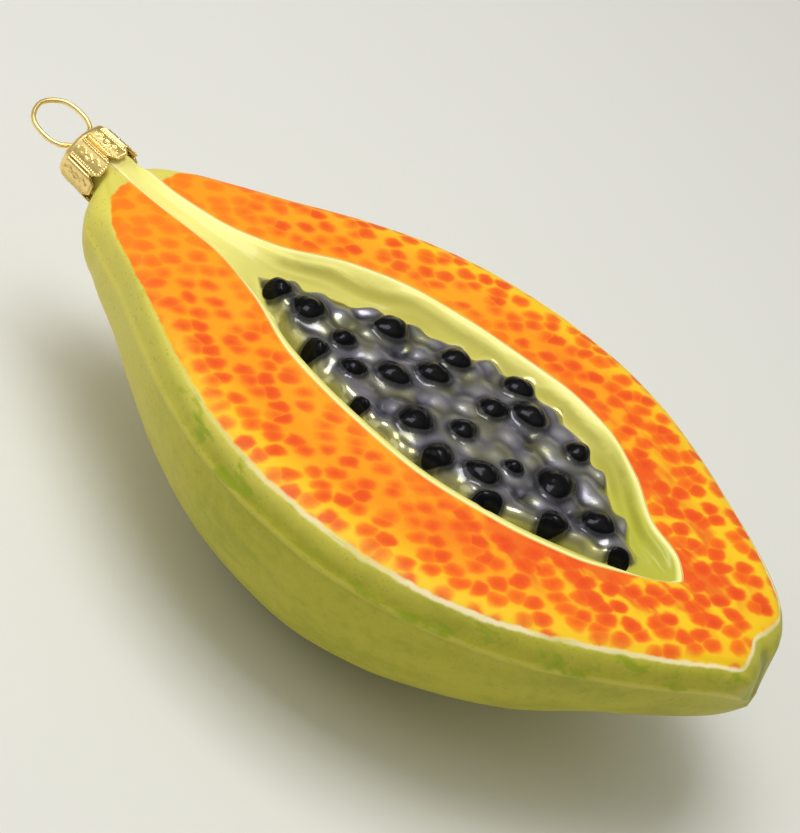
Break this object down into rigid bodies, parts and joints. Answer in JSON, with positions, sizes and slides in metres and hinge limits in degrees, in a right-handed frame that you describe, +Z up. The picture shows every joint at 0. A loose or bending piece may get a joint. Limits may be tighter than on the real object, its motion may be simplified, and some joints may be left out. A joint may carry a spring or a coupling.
{
  "type": "glass papaya tree ornament",
  "caption": "Hollow blown-glass hanging ornament shaped like a lengthwise half papaya with seeds, with a metal crown cap and a sprung wire loop.",
  "frame": {"origin": "on the resting surface, under the middle of the whole ornament with its hanger, cut face up", "axes": "+X from the cap and wire loop to the blossom end, +Z up out of the cut face, +Y across the fruit"},
  "size_m": [0.128, 0.0696, 0.0372],
  "materials": {
    "painted_glass": "gloss paint on silvered blown glass: orange flesh, green skin, clear pearly pulp with black seeds",
    "cap_metal": "stamped thin sheet, gold tone, satin with bright edges",
    "wire_metal": "drawn spring wire, gold tone, bright"
  },
  "bodies": {
    "root": {"glass_body": "painted_glass", "crown_cap": "cap_metal", "hanger_wire": "wire_metal"}
  },
  "joints": []
}
